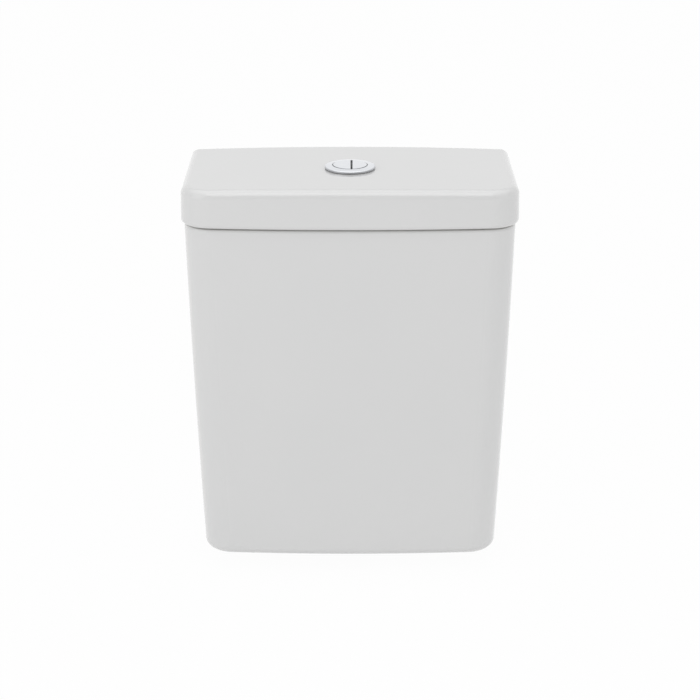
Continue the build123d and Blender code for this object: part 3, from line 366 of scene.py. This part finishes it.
def nut_piece(name, width, bore, low, high, x, chamfer):
    """A hexagonal nut: a turned block with coned corners, cut to six flats, round a bore."""
    corner = width / 2 / math.cos(math.pi / 6)
    face = width / 2 * 0.97
    return turned_piece(name, [
        (bore, low + chamfer / 2), (bore + chamfer / 2, low), (face, low),
        (corner, low + chamfer), (corner, high - chamfer), (face, high),
        (bore + chamfer / 2, high), (bore, high - chamfer / 2),
    ], x, soften=0.0, around=144, hexagon=width, step=0.0008)


nuts = [
    nut_piece("nut", width=0.013, bore=0.00405, low=0.0160, high=0.0225, x=x, chamfer=0.0011)
    for x in bolt_places
]
settle(joined("brass_nuts", nuts), "cistern", brass, "brass", "bolt_nuts")


def zinc_plate():
    """Zinc plated steel: a satin grey that varies from one small spangle to the next."""
    material, tree, shader = blank_material("zinc_plate", (0.60, 0.61, 0.63), 0.34, 1.0)
    cells = {"Vector": object_place(tree), "Scale": 520.0}
    spangle = add_node(tree, "ShaderNodeTexVoronoi", cells).outputs["Distance"]
    tone = two_tone(tree, spangle, (0.66, 0.67, 0.69), (0.53, 0.54, 0.56))
    tree.links.new(tone, shader.inputs["Base Color"])
    tree.links.new(spread(tree, spangle, 0.28, 0.42, 0.0, 1.0), shader.inputs["Roughness"])
    return material


washer_thickness = 0.0015
washers = [
    turned_piece("washer", [
        (0.0042, low), (0.0120, low), (0.0120, low + washer_thickness), (0.0042, low + washer_thickness),
    ], x, 0.00035)
    for x in bolt_places for low in (0.0380, 0.0225)
]
settle(joined("steel_washers", washers), "cistern", zinc_plate(), "steel", "bolt_steel_washers")


def moulded_rubber(name, colour, bloom):
    """Vulcanised rubber: matte, faintly grained, with a grey bloom in cloudy patches."""
    material, tree, shader = blank_material(name, colour, 0.72)
    cloud = noise(tree, object_place(tree), 60.0, 4.0)
    tone = two_tone(tree, spread(tree, cloud, 0.0, 1.0), colour, bloom)
    tree.links.new(tone, shader.inputs["Base Color"])
    tree.links.new(spread(tree, cloud, 0.62, 0.82), shader.inputs["Roughness"])
    relief(tree, shader, noise(tree, object_place(tree), 1500.0), 0.00008, 0.35)
    return material


rubber = moulded_rubber("black_rubber", (0.028, 0.028, 0.030), (0.060, 0.060, 0.064))
floor_top = 0.0340
cones = [
    turned_piece("cone", [
        (0.0040, floor_top), (0.0140, floor_top), (0.0137, 0.0352), (0.0124, 0.0377), (0.0118, 0.0380),
        (0.0040, 0.0380),
    ], x, 0.0005)
    for x in bolt_places
]
settle(joined("tapered_washers", cones), "cistern", rubber, "rubber", "bolt_rubber_washers")


# Flush valve base. White moulded plastic: a threaded tail below the floor, a flange, a raised seat
# and a windowed basket with hooks for the tower. The thread runs round the tail's wall below the
# flange, and fine moulding grain covers the rest.
def moulded_plastic(name, colour, roughness=0.38, tint=0.94, thread=None):
    """Injection-moulded plastic: satin, with a fine grain and slow flow marks in its colour.
    A thread is the height of a helix over the grain."""
    material, tree, shader = blank_material(name, colour, roughness)
    flow = noise(tree, object_place(tree, (1.0, 1.0, 0.3)), 35.0)
    darker = tuple(value * tint for value in colour)
    tree.links.new(two_tone(tree, flow, darker, colour), shader.inputs["Base Color"])
    tree.links.new(spread(tree, flow, roughness - 0.05, roughness + 0.08), shader.inputs["Roughness"])
    grain = relief(tree, shader, noise(tree, object_place(tree), 2200.0), 0.00006, 0.3)
    if thread:
        relief(tree, shader, thread_height(tree, **thread), 0.0022, 1.0, grain)
    return material


def thread_height(tree, pitch, low, high):
    """A helical thread as a height: a triangle wave of z / pitch minus the turn about the Z axis.
    It is whole below the low height and gone above the high one."""
    x, y, z = [axis_value(tree, "Object", axis) for axis in "XYZ"]
    turn = worked_out(tree, "ARCTAN2", y, x)
    share = worked_out(tree, "MULTIPLY", turn, -1 / (2 * math.pi))
    phase = worked_out(tree, "MULTIPLY_ADD", z, 1 / pitch, share)
    wave = worked_out(tree, "PINGPONG", phase, 0.5)
    return worked_out(tree, "MULTIPLY", wave, spread(tree, z, 1.0, 0.0, low, high))


white = (0.80, 0.80, 0.78)
white_plastic = moulded_plastic("white_moulding", white)
tail_thread = {"pitch": 0.0030, "low": 0.0365, "high": 0.0370}
dress(moulded_plastic("threaded_moulding", white, thread=tail_thread), "valve_base")


# Seals of the flush valve. A flat washer under the flange, a thick ring that couples the tank to the
# pan, and the large moulded backnut between them. The ring is soft, so its corners are rounded
# and its side swells a little.
tail_bore = 0.0299
settle(turned_piece("seating_washer", [
    (tail_bore, floor_top), (0.0418, floor_top), (0.0420, 0.0355), (0.0418, 0.0370), (tail_bore, 0.0370),
], soften=0.0006), "cistern", rubber, "rubber", "valve_seating_washer")
settle(turned_piece("coupling_ring", [
    (tail_bore, -0.0020), (0.0390, -0.0020), (0.0480, -0.0018), (0.0512, -0.0004), (0.0517, 0.0040),
    (0.0520, 0.0120), (0.0517, 0.0200), (0.0512, 0.0240), (0.0414, 0.0240), (0.0414, 0.0119),
    (tail_bore, 0.0119),
], soften=0.0011), "cistern", rubber, "rubber", "close_coupling_gasket")
dress(white_plastic, "valve_backnut")


# Valve tower. A white moulded cage that twists into the base's hooks: windows all round, two rings
# that guide the tube, ears for the rockers' pins and a notched rail for the half-flush float.
dress(white_plastic, "valve_tower")


# Overflow tube and what is fixed on it. A grey tube with a crosshead near its top, a soft red seal
# clamped between a ring and a ribbed plate, and a blue float above.
grey_plastic = moulded_plastic("grey_moulding", (0.33, 0.35, 0.38), 0.42)
blue_plastic = moulded_plastic("blue_moulding", (0.07, 0.22, 0.48), 0.36, 0.86)
dress(grey_plastic, "overflow_tube", "tube_crosshead", "half_flush_lifter")
dress(white_plastic, "seal_clamp_ring", "seal_retainer")
dress(blue_plastic, "valve_float", "half_flush_float")
silicone = moulded_rubber("red_silicone", (0.42, 0.085, 0.055), (0.50, 0.12, 0.085))
settle(turned_piece("seal_disc", [
    (0.0140, 0.0501), (0.0300, 0.0501), (0.0315, 0.0506), (0.0315, 0.0520), (0.0300, 0.0526),
    (0.0140, 0.0526),
], soften=0.0005, around=128), "valve", silicone, "silicone", "main_seal")


# Rockers and their pins. Two blue moulded levers turn on steel pins in the tower's ears: a button's
# rod presses the inner end down, and the outer end lifts a strap.
dress(blue_plastic, "full_flush_rocker", "half_flush_rocker")
steel = turned_metal("drawn_steel", (0.58, 0.58, 0.60), 0.30, 1400.0)
dress(steel, "rocker_pins", "lever_pin")


# Fill valve. A white threaded shank with its riser stands in the floor, a sleeve and a grey head on
# it, and a soft disc under the blue cap. A blue float on the sleeve tips the grey lever through
# a white rod.
inlet_x = -0.112
settle(turned_piece("threaded_shank", [
    (0.0073, -0.0140), (0.0096, -0.0140), (0.01048, -0.0131), (0.01048, 0.0149), (0.01018, 0.0150),
    (0.01018, 0.0365), (0.0170, 0.0365), (0.0170, 0.03875), (0.0095, 0.0410), (0.0095, 0.2580),
    (0.0065, 0.2580), (0.0065, 0.0140), (0.0073, 0.0140),
], inlet_x, 0.0002, step=0.0004,
    thread={"pitch": 0.00181, "depth": 0.00090, "low": -0.0136, "high": 0.0150, "wall": 0.0100}),
    "cistern", white_plastic, "white_plastic", "fill_shank")


def hole_nut(name, x):
    """The hexagonal nut under the floor that holds a fitting in an inlet's hole."""
    return nut_piece(name, width=0.030, bore=0.01058, low=0.0150, high=0.0240, x=x, chamfer=0.0018)


def hole_washer(name, x):
    """A soft washer between the floor and a fitting's flange, its edge pressed out a little."""
    return turned_piece(name, [
        (0.01058, floor_top), (0.0168, floor_top), (0.0170, 0.03525), (0.0168, 0.0365), (0.01058, 0.0365),
    ], x, 0.0005)


settle(hole_nut("shank_nut", inlet_x), "cistern", white_plastic, "white_plastic", "fill_backnut")
settle(hole_washer("shank_washer", inlet_x), "cistern", rubber, "rubber", "fill_shank_washer")
settle(turned_piece("soft_disc", [
    (0, 0.2610), (0.0060, 0.2610), (0.00625, 0.2616), (0.00625, 0.2698), (0.0070, 0.2700),
    (0.0189, 0.2700), (0.0190, 0.2710), (0.0189, 0.2720), (0, 0.2720),
], inlet_x), "cistern", silicone, "silicone", "diaphragm")
dress(white_plastic, "inlet_filter", "fill_sleeve", "float_link")
dress(grey_plastic, "fill_head", "fill_lever")
dress(blue_plastic, "fill_cap", "fill_float")


# Spare inlet. The right-hand hole is blanked with a moulded plug, a soft washer and a nut.
# All three are the same distance from the middle as the fill valve.
dress(white_plastic, "inlet_plug")
settle(hole_washer("plug_soft_washer", -inlet_x), "cistern", rubber, "rubber", "plug_washer")
settle(hole_nut("plug_hex_nut", -inlet_x), "cistern", white_plastic, "white_plastic", "plug_nut")


# Button housing. A white barrel goes through the lid's hole, on a soft gasket, and a ring nut below
# holds it. Its chromed ring shows on the lid.
dress(white_plastic, "button_housing", "button_locknut")
grey_rubber = moulded_rubber("grey_rubber", (0.17, 0.17, 0.175), (0.24, 0.24, 0.245))
gasket_low, gasket_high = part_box("button_gasket")
gasket_middle = (gasket_low.z + gasket_high.z) / 2
gasket_bore = 0.0205
gasket_edge = gasket_high.x - 0.0002
settle(turned_piece("lid_gasket", [
    (gasket_bore, gasket_low.z), (gasket_edge, gasket_low.z), (gasket_high.x, gasket_middle),
    (gasket_edge, gasket_high.z), (gasket_bore, gasket_high.z),
], soften=0.0002, around=128), "lid_assembly", grey_rubber, "rubber", "button_gasket")


def chrome_plate(name, edge, turn, cut=None):
    """Chrome over plastic: near mirror and faintly hazy on the flats, with hairlines from wiping.
    Where an edge turns down, by the Z of its normal, it is darker and satin: the darker edge colour
    is painted shade. The straight faces of a cut at that X keep the bright colour, without it."""
    bright = (0.74, 0.76, 0.79)
    material, tree, shader = blank_material(name, bright, 0.07, 1.0)
    haze = noise(tree, object_place(tree), 110.0, 3.0)
    hairs = noise(tree, object_place(tree, (1.0, 14.0, 1.0)), 900.0)
    # Painted shade: the colour turns to the darker edge tone where the normal's Z falls below the turn.
    flat = spread(tree, axis_value(tree, "Normal", "Z"), 0.0, 1.0, turn - 0.09, turn)
    if cut:
        offset = worked_out(tree, "SUBTRACT", axis_value(tree, "Object", "X"), cut)
        beside = spread(tree, worked_out(tree, "ABSOLUTE", offset), 0.0, 1.0, 0.0008, 0.0009)
        edge = two_tone(tree, beside, bright, edge)
    face = two_tone(tree, haze, (0.71, 0.73, 0.765), (0.76, 0.775, 0.80))
    tree.links.new(two_tone(tree, flat, edge, face), shader.inputs["Base Color"])
    edge_roughness = 0.34
    face_roughness = spread(tree, haze, 0.05, 0.11)
    tree.links.new(between(tree, flat, edge_roughness, face_roughness), shader.inputs["Roughness"])
    relief(tree, shader, hairs, 0.000004, 0.15)
    return material


# The ring's darker edge tone is painted shade on its wall.
dress(chrome_plate("chromed_ring", (0.54, 0.55, 0.57), 0.97), "button_bezel")


# Push buttons. A chromed pair fills the ring, the left half larger than the right. Each stands on a
# white rod in its stem, and a coil spring round the stem lifts it back.
cut_middle = 0.0016
# The caps' dark edge tone is painted shade in the gaps round and between the buttons.
dress(chrome_plate("chromed_caps", (0.17, 0.175, 0.19), 0.99, cut_middle),
      "full_flush_button", "half_flush_button")
dress(white_plastic, "full_push_rod", "half_push_rod")


def coil_spring(name, x, low, high, coil, wire, turns, dead):
    """A round wire along a helix C(t) = (x + R cos t, R sin t, z(t)), whose first and last turns lie
    flat: P = C + a (cos p N + sin p B). N points at the axis, B is square to it and the path.
    The wire runs to a point over the last 7 degrees of each end."""
    total = turns + 2 * dead
    t = np.linspace(0.0, 1.0, 60 * total + 1)
    wound = t * total
    dead_rise = 2 * wire * 1.04
    live_rise = high - low - 2 * wire - 2 * dead * dead_rise
    level = (low + wire + dead_rise * np.minimum(wound, dead)
             + live_rise * np.clip((wound - dead) / turns, 0, 1)
             + dead_rise * np.clip(wound - dead - turns, 0, dead))
    angle = 2 * np.pi * wound
    centre = np.stack([x + coil * np.cos(angle), coil * np.sin(angle), level], axis=1)
    tangent = np.gradient(centre, axis=0)
    tangent /= np.linalg.norm(tangent, axis=1, keepdims=True)
    inward = np.stack([-np.cos(angle), -np.sin(angle), np.zeros_like(angle)], axis=1)
    side = np.cross(tangent, inward)
    side /= np.linalg.norm(side, axis=1, keepdims=True)
    p = np.linspace(0, 2 * np.pi, 12, endpoint=False)[None, :, None]
    taper = np.clip(np.minimum(t, 1 - t) * 400, 0.0, 1.0)[:, None, None]
    surface = centre[:, None] + wire * taper * (np.cos(p) * inward[:, None] + np.sin(p) * side[:, None])
    return grid_piece(name, surface, closed=False)


for title, x, joint, press in (("full", -0.009, "full_flush_press", 0.010),
                               ("half", 0.009, "half_flush_press", 0.008)):
    spring_low, spring_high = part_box(title + "_button_spring")
    spring = coil_spring(title + "_coil", x, spring_low.z, spring_high.z,
                         coil=0.0041, wire=0.00045, turns=6, dead=1)
    settle(spring, "lid_assembly", steel, "steel", title + "_button_spring")
    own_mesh(spring)


# Floor and light. A wide white floor that keeps the object's shadow and is open to a look from
# below, a white room that reflections show brighter overhead, one broad lamp above the front and
# a larger one at each side.
def seen_ray(tree):
    """1 for rays from the camera, from a mirror or through glass, otherwise 0."""
    path = add_node(tree, "ShaderNodeLightPath").outputs
    first = worked_out(tree, "MAXIMUM", path["Is Camera Ray"], path["Is Glossy Ray"])
    return worked_out(tree, "MAXIMUM", first, path["Is Transmission Ray"])


def pale_floor():
    """A big square just under the object, white to the camera and to reflections."""
    level = cad_box[0][2] - 0.0005
    reach = 12.0
    corners = np.array([
        (-reach, -reach, level), (reach, -reach, level), (reach, reach, level), (-reach, reach, level),
    ])
    floor = mesh_piece("floor", corners, np.array([[0, 1, 2, 3]]))
    material = bpy.data.materials.new("pale_floor")
    material.use_nodes = True
    tree = material.node_tree
    tree.nodes.clear()
    matte = add_node(tree, "ShaderNodeBsdfDiffuse", {"Color": (0.95, 0.95, 0.95, 1.0)}).outputs[0]
    plain_white = {"Color": (1.0, 1.0, 1.0, 1.0), "Strength": 1.0}
    glow = add_node(tree, "ShaderNodeEmission", plain_white).outputs[0]
    share = worked_out(tree, "MULTIPLY", seen_ray(tree), 0.97)
    above = add_node(tree, "ShaderNodeMixShader", {0: share, 1: matte, 2: glow}).outputs[0]
    from_below = add_node(tree, "ShaderNodeNewGeometry").outputs["Backfacing"]
    clear = add_node(tree, "ShaderNodeBsdfTransparent").outputs[0]
    either = add_node(tree, "ShaderNodeMixShader", {0: from_below, 1: above, 2: clear}).outputs[0]
    add_node(tree, "ShaderNodeOutputMaterial", {"Surface": either})
    floor.data.materials.append(material)


pale_floor()
world = bpy.data.worlds.new("white_room")
bpy.context.scene.world = world
world.use_nodes = True
room = world.node_tree
sky = room.nodes["Background"]
sky.inputs["Color"].default_value = (1.0, 1.0, 1.0, 1.0)
behind = spread(room, axis_value(room, "Generated", "Y"), 0.5, 1.0, -0.6, 0.5)
overhead = spread(room, axis_value(room, "Generated", "Z"), 0.0, 1.5, 0.55, 0.98)
mirrored = worked_out(room, "ADD", behind, overhead)
in_view = add_node(room, "ShaderNodeLightPath").outputs["Is Camera Ray"]
seen = worked_out(room, "MAXIMUM", in_view, mirrored)
room_light = 0.625
room.links.new(between(room, seen_ray(room), room_light, seen), sky.inputs["Strength"])


def soft_lamp(name, place, target, size, power):
    """A square area lamp that looks from its place at a point."""
    lamp = bpy.data.lights.new(name, "AREA")
    lamp.shape = "SQUARE"
    lamp.size = size
    lamp.energy = power
    holder = bpy.data.objects.new(name, lamp)
    holder.location = place
    holder.rotation_euler = (Vector(target) - Vector(place)).to_track_quat("-Z", "Y").to_euler()
    bpy.context.scene.collection.objects.link(holder)


soft_lamp("over_lamp", (0.0, -1.2, 2.4), (0.0, 0.0, 0.3), size=1.6, power=6.5)
soft_lamp("left_lamp", (-2.3, -1.7, 1.3), (0.0, 0.0, 0.25), size=2.3, power=11.5)
soft_lamp("right_lamp", (2.3, -1.5, 1.3), (0.0, 0.0, 0.25), size=2.3, power=5.0)


# Camera. It stands in front of the middle, 0.93 m up, and looks down by about 21 degrees.
# Through its long lens the cistern spans about half of the picture's width.
camera = bpy.data.objects.new("camera", bpy.data.cameras.new("camera"))
camera.data.lens = 96.428
camera.data.sensor_width = 36.0
camera.location = (0.0, -1.91885, 0.93312)
camera.rotation_euler = (math.radians(90.0 - 20.558), 0.0, 0.0)
bpy.context.scene.collection.objects.link(camera)
bpy.context.scene.camera = camera
bpy.context.scene.view_settings.view_transform = "Standard"
